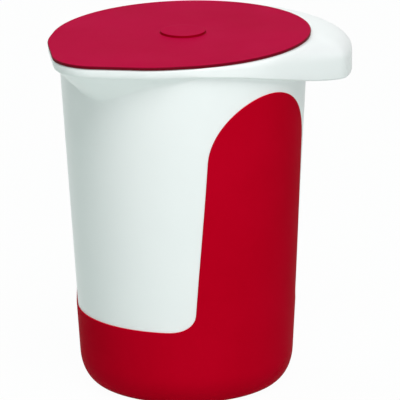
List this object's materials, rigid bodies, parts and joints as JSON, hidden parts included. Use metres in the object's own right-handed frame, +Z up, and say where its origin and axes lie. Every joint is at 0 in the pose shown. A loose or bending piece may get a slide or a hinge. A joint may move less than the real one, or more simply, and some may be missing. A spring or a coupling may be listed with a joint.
{
  "type": "lidded pouring beaker",
  "caption": "Tapered kitchen beaker with a drop-shaped press-in lid, a V-shaped spout, a broad hollow hand grip at the rim and a soft cup with side grips.",
  "frame": {"origin": "centre of the base's flat underside, on the table and on the axis of the beaker's wall", "axes": "+Z up along the wall's axis, +X towards the hand grip and -X towards the spout, +Y across to one side grip"},
  "size_m": [0.152, 0.1138, 0.1606],
  "materials": {
    "beaker": "glossy moulded white polypropylene with a faint grey-green cast",
    "soft_grip": "satin red thermoplastic elastomer, moulded onto the beaker",
    "lid": "satin crimson flexible plastic"
  },
  "bodies": {
    "beaker": {"beaker": "beaker", "soft_grip": "soft_grip"},
    "lid": {"lid": "lid"}
  },
  "joints": [
    {"name": "lid_lift", "type": "slide", "parent": "beaker", "child": "lid", "axis": [0, 0, 1], "range_m": [0, 0.06]}
  ]
}
